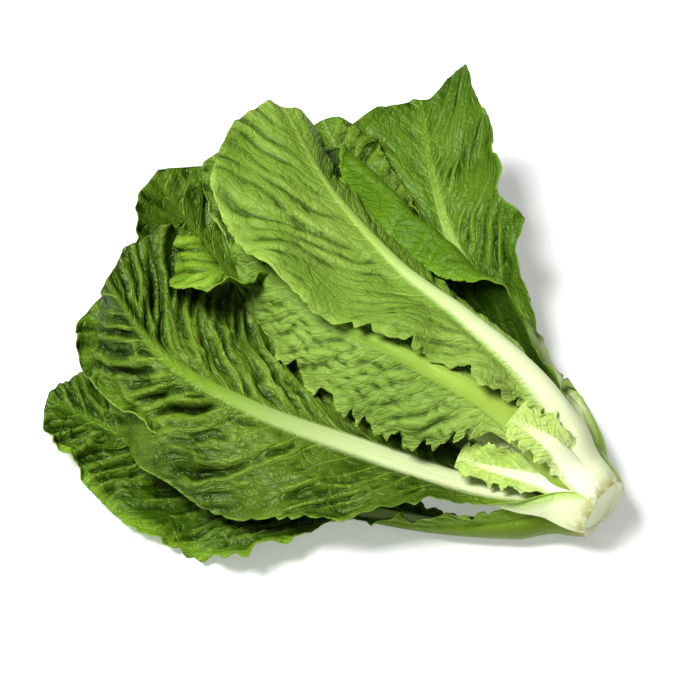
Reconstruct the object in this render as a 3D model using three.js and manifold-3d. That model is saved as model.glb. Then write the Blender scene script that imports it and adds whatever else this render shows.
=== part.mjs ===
// A head of romaine lettuce, cut and lying on its side, in millimetres with +Z up.
// The stem's cut face looks along -X, the leaves reach out along +X, and the lowest leaves lie on
// the plane z = 0. Every leaf is one solid: a blade with a thick rib, a toothed foot and a waved
// margin. The leaves are first laid out by their ribs and then bent clear of each other.
import * as THREE from "three";
import { mergeVertices } from "three/addons/utils/BufferGeometryUtils.js";
import Module from "manifold-3d";

// Stem
const STEM_HEIGHT = 25; // of its axis above the surface
const STEM_CUT_RADIUS = 18;
const STEM_LENGTH = 50;
const STEM_SIDES = 28;

// Leaf blades
const BLADE_HALF_THICKNESS = 0.5;
const RIB_HALF_WIDTH = 10.5; // of the largest rib, where the leaf leaves the stem
const RIB_TIP_HALF_WIDTH = 1.6;
const RIB_DEPTH = 5.5; // how far the rib stands out of the outer face at the foot
const RIB_TIP_DEPTH = 0.4;
const TOOTH_DEPTH = 0.16; // of the half width

// Bending clear
const CLEARANCE = 1.6; // between neighbouring blades
const TOUCH_GAP = 0.35; // between solids that are trimmed to each other
const LATTICES = [0.02, 0.025, 0.03, 0.015, 0.04, 0.05, 0.06, 0.08, 0.1];
const SHIFT_COLUMNS = 8; // cells across the grid of shifts
const SHIFT_ROWS = 20;
const PASSES = 40;
const MOST_SHIFT = 14;
const FLAT_DEPTH = 2.4; // of the lowest blades, pressed flat where they rest

// The middle of the head's underside box, which becomes the part's origin.
const ORIGIN = [152.25, -5.42, 0];

const DEG = Math.PI / 180;

// Each leaf: its rib from foot to tip, the way its inner face looks at the foot, middle and tip,
// its greatest half width on each side of the rib, how far each half cups towards the inner face,
// leans off the rib and rolls on (degrees at foot, middle and tip), and its margin's waves.
// Sides are [minus, plus], and plus is the rib's direction crossed with the inner face's.
// The order rises from the heart outwards: a leaf passes outside all those of lower order.
// Further values replace those of COMMON.
const COMMON = {
  rows: 16, // cells along the blade and
  cells: 8, // across it
  ribSize: 0.85,
  widens: [0.08, 0.08], // where along the leaf the blade begins to widen
  widest: [0.64, 0.64], // where along the leaf the blade is widest
  tip: [0.5, 0.5], // share of the width that is left at the tip
  sweep: [0.05, 0.05], // share of the length by which the margin lags the rib at the tip
  bulge: [0, 0], // share by which the tip stands out between rib and margin
  lobes: [[], []], // at which share the margin stands out, by how much, and over what share
  lean: [[0, 0, 0], [0, 0, 0]],
  roll: [[0, 0, 0], [0, 0, 0]],
  rollFrom: [0.5, 0.5], // share of the half width where the roll begins and
  rollOver: [0.5, 0.5], // the share over which it is spread
};
const LEAVES = [
  {
    name: "leaf_front_open",
    order: 8.2,
    rows: 20,
    cells: 10,
    ribSize: 1.25,
    rib: [[7, 17, 30], [60, 37, 25], [115, 60, 32], [166, 84, 44], [215, 97, 57], [262, 91, 77]],
    face: [[0, -0.8, 0.6], [0, 0.1, 1], [-0.4, 0.45, 0.8]],
    half: [58, 90],
    widest: [0.58, 0.72],
    tip: [0.3, 0.72],
    sweep: [0.05, 0],
    bulge: [0, 0.055],
    lobes: [[[0.28, 9, 0.14]], [[0.74, -8, 0.1]]],
    lean: [[0, 10, -40], [0, 20, -60]],
    cup: [[30, -30, -10], [60, -110, 120]],
    roll: [[0, 0, 0], [0, -110, 200]],
    rollFrom: [0.5, 0.56],
    rollOver: [0.5, 0.15],
    wave: { size: 4, count: 4.5, phase: 0.4 },
  },
  {
    name: "leaf_front_under",
    order: 10,
    rows: 20,
    cells: 10,
    ribSize: 1,
    rib: [[6, 13, 11], [60, 54, 8], [116, 82, 4], [170, 104, 2], [220, 122, 8], [268, 138, 17]],
    face: [[0, -0.95, 0.25], [0, 0.3, 1], [-0.2, -0.1, 1]],
    half: [56, 58],
    widens: [0.34, 0.08],
    widest: [0.53, 0.64],
    tip: [0.3, 0.5],
    lobes: [[[0.17, 9, 0.11], [0.455, 11, 0.07], [0.86, -6, 0.1]], []],
    cup: [[110, -30, 15], [60, 5, 20]],
    wave: { size: 4.5, count: 4, phase: 2.2 },
  },
  {
    name: "leaf_top",
    order: 7,
    rows: 20,
    cells: 10,
    ribSize: 1,
    rib: [[5, -4, 41], [52, -11, 69], [105, -14, 78], [155, -16, 80], [210, -27, 89], [266, -49, 103]],
    face: [[0, 0.1, -1], [0, 0.25, -0.95], [0, 0.2, -0.95]],
    half: [30, 60],
    widest: [0.6, 0.82],
    tip: [0.4, 0.75],
    bulge: [0, 0.02],
    lobes: [[], [[0.26, 7, 0.08]]],
    cup: [[60, 95, 80], [60, 28, 22]],
    wave: { size: 4, count: 4.5, phase: 1.1 },
  },
  {
    name: "leaf_front_toothed",
    order: 6,
    rows: 20,
    cells: 10,
    rib: [[12, 7, 38], [60, 10, 62], [102, 18, 69], [145, 25, 70], [188, 27, 71], [230, 24, 73]],
    face: [[0, -0.5, -0.85], [0, -0.6, -0.8], [0, -0.6, -0.8]],
    half: [14, 46],
    widest: [0.5, 0.4],
    tip: [0.9, 0.3],
    cup: [[60, 25, 20], [30, 15, 20]],
    wave: { size: 2.5, count: 6, phase: 0 },
  },
  {
    name: "leaf_back_folded",
    order: 7.4,
    rows: 20,
    cells: 10,
    rib: [[6, -16, 29], [50, -31, 27], [107, -41, 29], [157, -43, 34], [212, -46, 41], [271, -52, 50]],
    face: [[0, 0.95, 0.3], [0, 0.95, 0.3], [-0.1, 0.9, 0.4]],
    half: [34, 70],
    widest: [0.6, 0.7],
    tip: [0.5, 0.12],
    cup: [[60, 40, 30], [30, 0, 0]],
    roll: [[0, 0, 0], [0, 160, 160]],
    rollFrom: [0.5, 0.5],
    rollOver: [0.5, 0.22],
    wave: { size: 2, count: 5, phase: 2 },
  },
  {
    name: "leaf_back_open",
    order: 8.6,
    rows: 20,
    cells: 10,
    rib: [[6, -17, 22], [53, -46, 20], [100, -66, 22], [155, -76, 34], [196, -97, 54], [236, -129, 72]],
    face: [[0, 0.95, 0.2], [-0.2, 0.6, 0.75], [-0.5, 0.4, 0.7]],
    ribSize: 1,
    half: [64, 46],
    widest: [0.62, 0.72],
    tip: [0.68, 0.66],
    sweep: [0.02, -0.12],
    lobes: [
      [[0.9, -4, 0.05]],
      [[0.34, -19, 0.16], [0.57, 5, 0.035], [0.67, -11, 0.045], [0.77, -8, 0.04], [0.9, -11, 0.08]],
    ],
    cup: [[60, 15, 10], [60, 10, 20]],
    wave: { size: 5, count: 4, phase: 1.2 },
  },
  {
    name: "leaf_back_under",
    order: 9.8,
    rib: [[6, -11, 10], [60, -34, 3], [110, -50, 1], [160, -64, 2], [208, -76, 10], [252, -84, 24]],
    face: [[0, 0.4, 0.9], [0, 0.1, 1], [-0.3, 0.1, 1]],
    half: [54, 48],
    cup: [[60, 5, 20], [60, 15, 25]],
    wave: { size: 4.5, count: 4, phase: 0.2 },
  },
  {
    name: "leaf_middle_under",
    order: 9.2,
    rib: [[14, 0, 12], [72, 4, 10], [130, 9, 11], [188, 14, 18], [246, 19, 38], [303, 18, 76]],
    face: [[0, 0, 1], [0, 0, 1], [-0.85, 0.1, 0.5]],
    half: [58, 58],
    cup: [[60, 40, 30], [60, 40, 30]],
    wave: { size: 4, count: 4, phase: 1.6 },
  },
  {
    name: "leaf_front_middle",
    order: 9,
    rib: [[30, 8, 13], [76, 33, 8], [120, 58, 11], [174, 78, 21], [230, 90, 30], [280, 92, 44]],
    face: [[0, 0, 1], [0, -0.1, 1], [-0.4, 0.1, 0.9]],
    half: [40, 46],
    lobes: [[[0.14, 8, 0.12]], []],
    cup: [[60, 15, 30], [60, 20, 30]],
    wave: { size: 4, count: 4, phase: 0.8 },
  },
  {
    name: "leaf_back_middle",
    order: 8,
    rib: [[12, -14, 17], [70, -38, 18], [124, -50, 20], [178, -57, 27], [228, -70, 40], [276, -88, 58]],
    face: [[0, 0.8, 0.5], [0, 0.6, 0.8], [-0.4, 0.5, 0.7]],
    half: [30, 26],
    cup: [[60, 20, 30], [60, 20, 20]],
    wave: { size: 3.5, count: 4, phase: 0.9 },
  },
  {
    name: "leaf_heart_back",
    order: 5,
    rows: 15,
    rib: [[24, -7, 20], [78, -14, 24], [134, -18, 28], [190, -20, 36], [244, -18, 50], [292, -16, 72]],
    face: [[0, 0.5, 0.7], [0, 0.5, 0.8], [-0.6, 0.3, 0.7]],
    half: [34, 34],
    cup: [[60, 50, 40], [60, 50, 40]],
    wave: { size: 3, count: 4, phase: 0.3 },
  },
  {
    name: "leaf_heart_front",
    order: 4,
    rows: 15,
    rib: [[28, 6, 31], [74, 10, 38], [120, 12, 42], [166, 12, 46], [212, 10, 50], [252, 5, 56]],
    face: [[0, -0.6, -0.7], [0, -0.6, -0.8], [0.2, -0.6, -0.8]],
    half: [24, 24],
    cup: [[60, 60, 30], [60, 50, 30]],
    wave: { size: 3, count: 4.5, phase: 1.4 },
  },
  {
    name: "leaf_heart_core_front",
    order: 2,
    rows: 12,
    ribSize: 0.6,
    rib: [[38, 2, 24], [76, 7, 27], [116, 9, 31], [156, 10, 35], [194, 9, 39], [228, 8, 45]],
    face: [[0, -0.6, 0.6], [0, -0.6, 0.6], [0, -0.6, 0.6]],
    half: [20, 20],
    cup: [[60, 60, 50], [60, 60, 50]],
    wave: { size: 2, count: 5, phase: 1.9 },
  },
  {
    name: "leaf_heart_core_back",
    order: 1,
    rows: 12,
    ribSize: 0.6,
    rib: [[38, -2, 27], [76, -6, 33], [116, -8, 38], [156, -9, 43], [196, -9, 48], [232, -8, 53]],
    face: [[0, 0.7, 0.4], [0, 0.7, 0.3], [0, 0.7, 0.3]],
    half: [18, 18],
    cup: [[70, 60, 50], [70, 60, 50]],
    wave: { size: 2, count: 5, phase: 0.6 },
  },
  {
    name: "leaf_small_top",
    order: 7.6,
    rows: 12,
    ribSize: 0.8,
    rib: [[9, 5, 44], [18, 6, 51], [27, 7, 56], [36, 9, 60], [45, 11, 63], [54, 13, 65]],
    face: [[0, -0.3, -0.95], [0, -0.3, -0.95], [0, -0.3, -0.95]],
    half: [16, 13],
    widest: [0.5, 0.5],
    cup: [[40, 10, 10], [40, 10, 10]],
    wave: { size: 1, count: 3, phase: 0.6 },
  },
  {
    name: "leaf_small_front",
    order: 7.8,
    rows: 12,
    ribSize: 0.6,
    rib: [[8, 11, 34], [20, 14, 37], [33, 19, 38], [46, 25, 38], [58, 30, 38], [70, 34, 39]],
    face: [[0, -0.2, 0.9], [0, 0.5, 0.85], [0, 0.5, 0.85]],
    half: [11, 14],
    widest: [0.5, 0.5],
    cup: [[30, 20, 20], [30, 20, 20]],
    wave: { size: 1.5, count: 4, phase: 0.6 },
  },
];

// A smooth step from 0 at low to 1 at high.
function ramp(low, high, x) {
  const t = Math.min(1, Math.max(0, (x - low) / (high - low)));
  return t * t * (3 - 2 * t);
}

// Three values, at foot, middle and tip, as one smooth curve.
function blend3(values, t) {
  return values[0] * (1 - t) ** 2 + 2 * values[1] * t * (1 - t) + values[2] * t * t;
}

class Leaf {
  constructor(spec) {
    Object.assign(this, COMMON, spec);
    const ends = this.rib.map((v) => new THREE.Vector3(...v));
    this.curve = new THREE.CatmullRomCurve3(ends, false, "catmullrom", 0.5);
    this.length = this.curve.getLength();
    this.shift = null;
  }

  // The rib's point at a share t of its length, carried on straight beyond the tip.
  ribPoint(t) {
    if (t <= 1) return this.curve.getPoint(Math.max(0, t));
    const end = this.curve.getPoint(1);
    const along = end.clone().sub(this.curve.getPoint(0.98)).multiplyScalar(50);
    return end.addScaledVector(along, t - 1);
  }

  // The rib's point, its direction, the plus side's and the inner face's.
  frameAt(t) {
    const step = 0.01;
    const along = this.ribPoint(t + step).sub(this.ribPoint(t - step)).normalize();
    const inner = new THREE.Vector3(...[0, 1, 2].map((k) => blend3(this.face.map((f) => f[k]), t)));
    const side = along.clone().cross(inner).normalize();
    return { origin: this.ribPoint(t), side, inner: side.clone().cross(along) };
  }

  // Half the blade's width at a share u of the length, on the minus (0) or plus (1) side.
  halfWidth(u, k) {
    const foot = RIB_HALF_WIDTH * this.ribSize;
    const rise = ramp(this.widens[k], this.widest[k], u);
    const start = this.widest[k] + 0.08;
    const fall = 1 - (1 - this.tip[k]) * Math.max(0, (u - start) / (1 - start)) ** 2;
    const lobes = this.lobes[k].map(([at, height, over]) => height * Math.exp(-(((u - at) / over) ** 2)));
    return lobes.reduce((sum, lobe) => sum + lobe, foot + (this.half[k] - foot) * rise * fall);
  }

  ribHalfWidth(u) {
    return this.ribSize * (RIB_TIP_HALF_WIDTH + (RIB_HALF_WIDTH - RIB_TIP_HALF_WIDTH) * (1 - u) ** 1.5);
  }

  ribDepth(u) {
    return this.ribSize * (RIB_TIP_DEPTH + (RIB_DEPTH - RIB_TIP_DEPTH) * (1 - u) ** 1.2);
  }

  // How far the outer face stands off the blade's middle at a distance w from the rib's centre.
  outerOffset(u, w) {
    const across = Math.min(1, Math.abs(w) / this.ribHalfWidth(u));
    return BLADE_HALF_THICKNESS + this.ribDepth(u) * Math.sqrt(1 - across * across);
  }

  // A point of the blade's middle surface before it is bent clear. v runs from -1 to 1.
  laidPoint(u, v) {
    const k = v < 0 ? 0 : 1;
    const reach = Math.abs(v);
    const lag = this.sweep[k] * u ** 2 * reach ** 2 - this.bulge[k] * u ** 4 * 4 * reach * (1 - reach);
    const { origin, side, inner } = this.frameAt(u - lag);
    const width = this.halfWidth(u, k);
    const cup = blend3(this.cup[k], u) * DEG;
    const roll = blend3(this.roll[k], u) * DEG;
    const lean = blend3(this.lean[k], u) * DEG;
    const steps = 12;
    let out = 0;
    let up = 0;
    for (let i = 0; i < steps; i++) {
      const q = ((i + 0.5) / steps) * reach;
      const rolled = ramp(this.rollFrom[k], this.rollFrom[k] + this.rollOver[k], (q * width) / this.half[k]);
      const turn = lean + cup * q + roll * rolled;
      out += (Math.cos(turn) * reach * width) / steps;
      up += (Math.sin(turn) * reach * width) / steps;
    }
    const { size, count, phase } = this.wave;
    up += size * ramp(0.15, 0.5, u) * reach ** 2.2 * Math.sin(2 * Math.PI * count * u + phase + 2 * k);
    return origin.addScaledVector(side, k ? out : -out).addScaledVector(inner, up);
  }

  // The shift that bends the blade clear, smooth between the points of its grid.
  shiftAt(u, v) {
    if (!this.shift) return new THREE.Vector3();
    const y = Math.min(1, Math.max(0, u)) * SHIFT_ROWS;
    const x = ((Math.min(1, Math.max(-1, v)) + 1) / 2) * SHIFT_COLUMNS;
    const i = Math.min(SHIFT_ROWS - 1, Math.floor(y));
    const c = Math.min(SHIFT_COLUMNS - 1, Math.floor(x));
    const low = this.shift[i][c].clone().lerp(this.shift[i][c + 1], x - c);
    const high = this.shift[i + 1][c].clone().lerp(this.shift[i + 1][c + 1], x - c);
    return low.lerp(high, y - i);
  }

  pointAt(u, v) {
    return this.laidPoint(u, v).add(this.shiftAt(u, v));
  }

  // The way the inner face looks.
  normalAt(u, v) {
    const du = 0.02;
    const dv = 0.05;
    const across = this.pointAt(u, Math.min(1, v + dv)).sub(this.pointAt(u, Math.max(-1, v - dv)));
    const along = this.pointAt(Math.min(1, u + du), v).sub(this.pointAt(Math.max(0, u - du), v));
    return across.cross(along).normalize();
  }
}

// Finds the shifts that move the leaves apart until each lies outside its inner neighbours and
// above the surface. Only smooth shifts are made, so every leaf keeps its own form.
function settle(leaves) {
  const grids = leaves.map((leaf) => {
    const grid = { leaf, start: [], thick: [], shift: [] };
    for (let i = 0; i <= SHIFT_ROWS; i++) {
      for (let c = 0; c <= SHIFT_COLUMNS; c++) {
        const u = i / SHIFT_ROWS;
        const v = (2 * c) / SHIFT_COLUMNS - 1;
        grid.start.push(leaf.laidPoint(u, v).toArray());
        grid.thick.push(leaf.outerOffset(u, v * leaf.halfWidth(u, v < 0 ? 0 : 1)));
        grid.shift.push([0, 0, 0]);
      }
    }
    return grid;
  });
  for (let pass = 0; pass < PASSES; pass++) {
    for (const grid of grids) refresh(grid);
    for (const mover of grids) {
      for (const wall of grids) {
        if (mover === wall) continue;
        if ([0, 1, 2].some((k) => mover.low[k] > wall.high[k] || wall.low[k] > mover.high[k])) continue;
        pushOff(mover, wall);
      }
    }
    for (const grid of grids) relax(grid);
  }
  for (const grid of grids) {
    grid.leaf.shift = [];
    for (let i = 0; i <= SHIFT_ROWS; i++) {
      const row = grid.shift.slice(i * WIDE, (i + 1) * WIDE);
      grid.leaf.shift.push(row.map((s) => new THREE.Vector3(...s)));
    }
  }
}

const WIDE = SHIFT_COLUMNS + 1;

// Brings a grid's points, normals and bounds up to date with its shifts.
function refresh(grid) {
  grid.now = grid.start.map((p, n) => p.map((x, k) => x + grid.shift[n][k]));
  grid.push = grid.now.map(() => [0, 0, 0]);
  grid.low = [0, 1, 2].map((k) => Math.min(...grid.now.map((p) => p[k])) - 10);
  grid.high = [0, 1, 2].map((k) => Math.max(...grid.now.map((p) => p[k])) + 10);
  grid.normal = grid.now.map((_, n) => {
    const i = Math.floor(n / WIDE);
    const c = n % WIDE;
    const right = grid.now[c < SHIFT_COLUMNS ? n + 1 : n];
    const left = grid.now[c > 0 ? n - 1 : n];
    const ahead = grid.now[i < SHIFT_ROWS ? n + WIDE : n];
    const behind = grid.now[i > 0 ? n - WIDE : n];
    const a = [0, 1, 2].map((k) => right[k] - left[k]);
    const b = [0, 1, 2].map((k) => ahead[k] - behind[k]);
    const normal = [a[1] * b[2] - a[2] * b[1], a[2] * b[0] - a[0] * b[2], a[0] * b[1] - a[1] * b[0]];
    const length = Math.hypot(...normal);
    return normal.map((x) => x / length);
  });
}

// Pushes the points of one grid to its own side of another. Only leaves that look much the same
// way push each other, the one of higher order to the other's outer side.
function pushOff(mover, wall) {
  const side = mover.leaf.order > wall.leaf.order ? -1 : 1;
  mover.now.forEach((p, n) => {
    let best = 14 * 14;
    let found = -1;
    for (let m = 0; m < wall.now.length; m++) {
      const w = wall.now[m];
      const d = (p[0] - w[0]) ** 2 + (p[1] - w[1]) ** 2 + (p[2] - w[2]) ** 2;
      if (d < best) {
        best = d;
        found = m;
      }
    }
    if (found < 0) return;
    const w = wall.now[found];
    const a = mover.normal[n];
    const b = wall.normal[found];
    const alike = a[0] * b[0] + a[1] * b[1] + a[2] * b[2];
    if (alike < 0.5) return;
    const height = side * ((p[0] - w[0]) * b[0] + (p[1] - w[1]) * b[1] + (p[2] - w[2]) * b[2]);
    if (best - height * height > 64) return;
    const apart = CLEARANCE + (side < 0 ? BLADE_HALF_THICKNESS + wall.thick[found] : mover.thick[n]);
    const short = apart - height;
    if (short <= 0) return;
    for (let k = 0; k < 3; k++) mover.push[n][k] += 0.5 * side * short * b[k];
  });
}

// Adds the pushes to a grid's shift, smooths the shift and keeps the blade above the surface.
function relax(grid) {
  const pushed = grid.shift.map((s, n) => {
    const next = s.map((x, k) => x + Math.max(-3, Math.min(3, grid.push[n][k])));
    const length = Math.hypot(...next);
    return length > MOST_SHIFT ? next.map((x) => (x * MOST_SHIFT) / length) : next;
  });
  grid.shift = pushed.map((s, n) => {
    const i = Math.floor(n / WIDE);
    const c = n % WIDE;
    const near = [];
    if (i > 0) near.push(n - WIDE);
    if (i < SHIFT_ROWS) near.push(n + WIDE);
    if (c > 0) near.push(n - 1);
    if (c < SHIFT_COLUMNS) near.push(n + 1);
    const free = ramp(0, 0.12, i / SHIFT_ROWS);
    return s.map((x, k) => {
      const mean = near.reduce((sum, m) => sum + pushed[m][k], 0) / near.length;
      return free * (0.55 * x + 0.45 * mean);
    });
  });
  grid.shift.forEach((s, n) => {
    s[2] = Math.max(s[2], grid.thick[n] - FLAT_DEPTH - grid.start[n][2]);
  });
}

// The margin's teeth: deep in the leaf's lower half, gone towards the tip.
function toothCut(u, row) {
  const deep = ramp(0.1, 0.22, u) * (1 - ramp(0.5, 0.8, u));
  return row % 2 ? TOOTH_DEPTH * deep : 0;
}

// A leaf as a closed surface, thickened by extra on every side.
function leafGeometry(leaf, extra) {
  const places = [];
  const faces = [];
  const half = leaf.cells / 2;
  const wide = leaf.cells + 1;
  for (const face of [1, -1]) {
    for (let i = 0; i <= leaf.rows; i++) {
      const u = i / leaf.rows;
      for (let c = 0; c <= leaf.cells; c++) {
        const k = c < half ? 0 : 1;
        const width = leaf.halfWidth(u, k);
        const rib = Math.min(0.85, leaf.ribHalfWidth(u) / width);
        const step = Math.abs(c - half);
        const reach = step ? rib + ((1 - rib) * (step - 1)) / (half - 1) : 0;
        const v = (step < half ? reach : 1 - toothCut(u, i)) * (k ? 1 : -1);
        const point = leaf.pointAt(u, v);
        const normal = leaf.normalAt(u, v);
        const offset = face > 0 ? BLADE_HALF_THICKNESS : leaf.outerOffset(u, v * width);
        point.addScaledVector(normal, face * (offset + extra));
        const floor = face * normal.z > 0 ? 2 * BLADE_HALF_THICKNESS : 0;
        point.z = Math.max(point.z, floor);
        places.push(point.x, point.y, point.z);
      }
    }
  }
  const under = (leaf.rows + 1) * wide;
  const quad = (a, b, c, d) => faces.push(a, b, c, a, c, d);
  for (let i = 0; i < leaf.rows; i++) {
    for (let c = 0; c < leaf.cells; c++) {
      const a = i * wide + c;
      const d = a + wide;
      faces.push(a, a + 1, d + 1, a, d + 1, d);
      faces.push(under + a, under + d + 1, under + a + 1, under + a, under + d, under + d + 1);
    }
    const first = i * wide;
    const last = first + leaf.cells;
    quad(first, first + wide, under + first + wide, under + first);
    quad(last + wide, last, under + last, under + last + wide);
  }
  const end = leaf.rows * wide;
  for (let c = 0; c < leaf.cells; c++) {
    quad(c + 1, c, under + c, under + c + 1);
    quad(end + c, end + c + 1, under + end + c + 1, under + end + c);
  }
  const geometry = new THREE.BufferGeometry();
  geometry.setAttribute("position", new THREE.Float32BufferAttribute(places, 3));
  geometry.setIndex(faces);
  return geometry;
}

// The stem: a short stump that narrows to a growing point among the leaves.
function stemGeometry(extra) {
  const r = STEM_CUT_RADIUS;
  const profile = [
    [0, 0],
    [r * 0.94, 0],
    [r, 1.5],
    [r, 6],
    [r * 0.86, 13],
    [r * 0.62, 22],
    [r * 0.42, 32],
    [r * 0.22, 42],
    [0, STEM_LENGTH],
  ].map(([radius, along]) => new THREE.Vector2(radius ? radius + extra : 0, along));
  const geometry = new THREE.LatheGeometry(profile, STEM_SIDES);
  geometry.rotateZ(-Math.PI / 2);
  geometry.translate(0, 0, STEM_HEIGHT);
  return geometry;
}

const wasm = await Module();
wasm.setup();

function solidOf(geometry) {
  const bare = geometry.clone();
  bare.deleteAttribute("normal");
  bare.deleteAttribute("uv");
  const merged = mergeVertices(bare, 1e-4);
  return new wasm.Manifold(
    new wasm.Mesh({
      numProp: 3,
      vertProperties: merged.attributes.position.array,
      triVerts: new Uint32Array(merged.index.array),
    }),
  );
}

function trimmed(solid, other) {
  return solid.intersect(other).volume() > 0 ? solid.subtract(other) : solid;
}

// The solid cut back a little from another that it still touches somewhere.
function freed(solid, other) {
  if (solid.intersect(other).volume() < 0.001) return solid;
  const nudge = 0.15;
  let cut = solid.subtract(other);
  for (const [x, y, z] of [[1, 1, 1], [1, -1, -1], [-1, 1, -1], [-1, -1, 1]]) {
    cut = cut.subtract(other.translate(x * nudge, y * nudge, z * nudge));
    cut = cut.subtract(other.translate(-x * nudge, -y * nudge, -z * nudge));
  }
  return cut;
}

// The solid without the slivers that trimming leaves: its points move to a fine lattice, and
// triangles that vanish or fold onto each other are dropped. The first lattice that leaves each
// edge between two triangles is taken.
function tidied(solid) {
  for (const lattice of LATTICES) {
    const geometry = geometryOf(solid);
    const places = geometry.attributes.position.array;
    places.forEach((x, n) => {
      places[n] = Math.round(x / lattice) * lattice;
    });
    const welded = mergeVertices(geometry, 1e-4);
    const faces = soundFaces(welded.index.array);
    if (!faces) continue;
    welded.setIndex(faces);
    return largestPiece(solidOf(welded));
  }
  return largestPiece(solid);
}

function soundFaces(index) {
  const faces = new Map();
  for (let i = 0; i < index.length; i += 3) {
    const corners = [index[i], index[i + 1], index[i + 2]];
    if (new Set(corners).size < 3) continue;
    const key = [...corners].sort((a, b) => a - b).join(" ");
    if (faces.has(key)) faces.delete(key);
    else faces.set(key, corners);
  }
  const edges = new Map();
  for (const corners of faces.values()) {
    corners.forEach((a, n) => {
      const b = corners[(n + 1) % 3];
      const key = Math.min(a, b) + " " + Math.max(a, b);
      edges.set(key, (edges.get(key) || 0) + 1);
    });
  }
  return [...edges.values()].every((n) => n === 2) ? [...faces.values()].flat() : null;
}

function largestPiece(solid) {
  return solid.decompose().sort((a, b) => b.volume() - a.volume())[0];
}

function geometryOf(solid) {
  const mesh = solid.getMesh();
  const geometry = new THREE.BufferGeometry();
  geometry.setAttribute("position", new THREE.Float32BufferAttribute(mesh.vertProperties, 3));
  geometry.setIndex(new THREE.BufferAttribute(mesh.triVerts, 1));
  return geometry;
}

function addNode(group, name, solid, color, roughness) {
  const paint = new THREE.MeshStandardMaterial({ color: new THREE.Color(...color), roughness });
  const geometry = geometryOf(solid.translate(ORIGIN.map((x) => -x)));
  geometry.computeVertexNormals();
  const mesh = new THREE.Mesh(geometry, paint);
  mesh.name = name;
  group.add(mesh);
}

const leaves = LEAVES.map((spec) => new Leaf(spec));
settle(leaves);

const head = new THREE.Group();
head.name = "romaine_lettuce_head";
addNode(head, "stem", solidOf(stemGeometry(0)), [0.72, 0.78, 0.5], 0.55);

// The stem and the outer leaves are kept whole, and each further leaf is trimmed clear of those
// that are already there.
const kept = [{ solid: solidOf(stemGeometry(0)), fat: solidOf(stemGeometry(TOUCH_GAP)) }];
for (const leaf of [...leaves].sort((a, b) => b.order - a.order)) {
  let solid = solidOf(leafGeometry(leaf, 0));
  for (const other of kept) solid = trimmed(solid, other.fat);
  solid = largestPiece(solid).simplify(0.05);
  for (const other of kept) solid = freed(solid, other.solid);
  solid = tidied(largestPiece(solid).simplify(0.05));
  kept.push({ solid, fat: solidOf(leafGeometry(leaf, TOUCH_GAP)) });
  const heart = leaf.order < 5.5 || leaf.length < 150;
  addNode(head, leaf.name, solid, heart ? [0.42, 0.58, 0.16] : [0.16, 0.36, 0.05], 0.45);
}

export default head;
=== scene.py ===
# Finishes a head of romaine lettuce round its solids: a fine sheet for every leaf, with pleats
# between the veins, blisters and a cut and frilled margin, and the cut stem.
import math

import bmesh
import bpy
import numpy as np
from mathutils import Matrix


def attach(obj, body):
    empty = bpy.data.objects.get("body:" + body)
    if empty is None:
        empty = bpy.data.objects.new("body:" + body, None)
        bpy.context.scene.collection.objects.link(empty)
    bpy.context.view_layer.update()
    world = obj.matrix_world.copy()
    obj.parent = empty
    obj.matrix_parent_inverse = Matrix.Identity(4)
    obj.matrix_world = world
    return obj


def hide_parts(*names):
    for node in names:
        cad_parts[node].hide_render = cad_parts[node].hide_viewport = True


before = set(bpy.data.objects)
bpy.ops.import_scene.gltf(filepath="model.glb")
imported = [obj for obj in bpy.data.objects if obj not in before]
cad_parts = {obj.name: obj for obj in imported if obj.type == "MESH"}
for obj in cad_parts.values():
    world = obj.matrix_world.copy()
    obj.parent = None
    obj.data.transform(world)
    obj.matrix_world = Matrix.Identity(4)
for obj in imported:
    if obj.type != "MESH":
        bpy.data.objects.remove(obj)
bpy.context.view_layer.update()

# Lengths are in millimetres until a mesh is filled, and a leaf's layout is that of its solid.
MM = 0.001
ORIGIN = np.array([152.25, -5.42, 0.0])

STEM_HEIGHT = 25
STEM_RADIUS = 18

# The stump's side, as its radius in shares of the stem's and the distance from the cut.
STUMP_PROFILE = [(0.74, 0), (0.76, 1.0), (0.76, 9), (0.74, 16), (0.68, 24), (0.5, 34), (0.22, 44)]
STUMP_SIDES = 96
CUT_RINGS = [0.12, 0.3]  # the width of the rings in the cut face, in shares of the stem's radius

# A blade and its rib, which is widest and deepest at the foot.
BLADE_HALF_THICKNESS = 0.5
RIB_HALF_WIDTH = 10.5
RIB_TIP_HALF_WIDTH = 1.6
RIB_DEPTH = 5.5
RIB_TIP_DEPTH = 0.4
RIB_CROWN = 1.3  # how far the rib swells out of the inner face at the foot
SHEET_HALF_THICKNESS = 0.3  # of the fine sheets, thinner than the solids

# How leaves that lie on each other are bent apart, in passes over a coarse grid of each blade.
CLEARANCE = 1.6
SHIFT_COLUMNS = 8
SHIFT_ROWS = 20
PASSES = 40
MOST_SHIFT = 14
MOST_PUSH = 3  # in one pass
BOX_MARGIN = 10
NEAR = 14  # leaves further apart than this don't push each other
BESIDE = 8  # nor do they where the other blade lies further to the side than this
LEAST_FACING = 0.5
STIFFNESS = 0.45  # how much of a point's shift comes from the points beside it
FLAT_DEPTH = 2.4  # how far a rib that lies on the surface may be pressed flat

# The feet of the outer leaves close round the stem: distance from the cut, and the radius there.
FOOT_PROFILE = [(0, 12.8), (4, 15.2), (9, 17.4), (16, 19.4), (26, 21)]
FOOT_WRAP = 26  # how far along a leaf its foot closes round the stem
FOOT_PULL = 14  # how far along a leaf its foot is drawn down to the cut
LAST_FOOT = 10  # a leaf that starts further in than this keeps its own foot
FOOT_STEP = 0.25  # how much further out each leaf's foot lies than that of the leaf before it

VEIN_SPACING = 13  # between side veins along the rib
VEIN_LEAN = 1.15  # how far a side vein runs forward for each millimetre outwards
VEIN_BOW = 0.0035
CELL_LENGTH = 6.5  # of the blisters between two side veins

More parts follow.
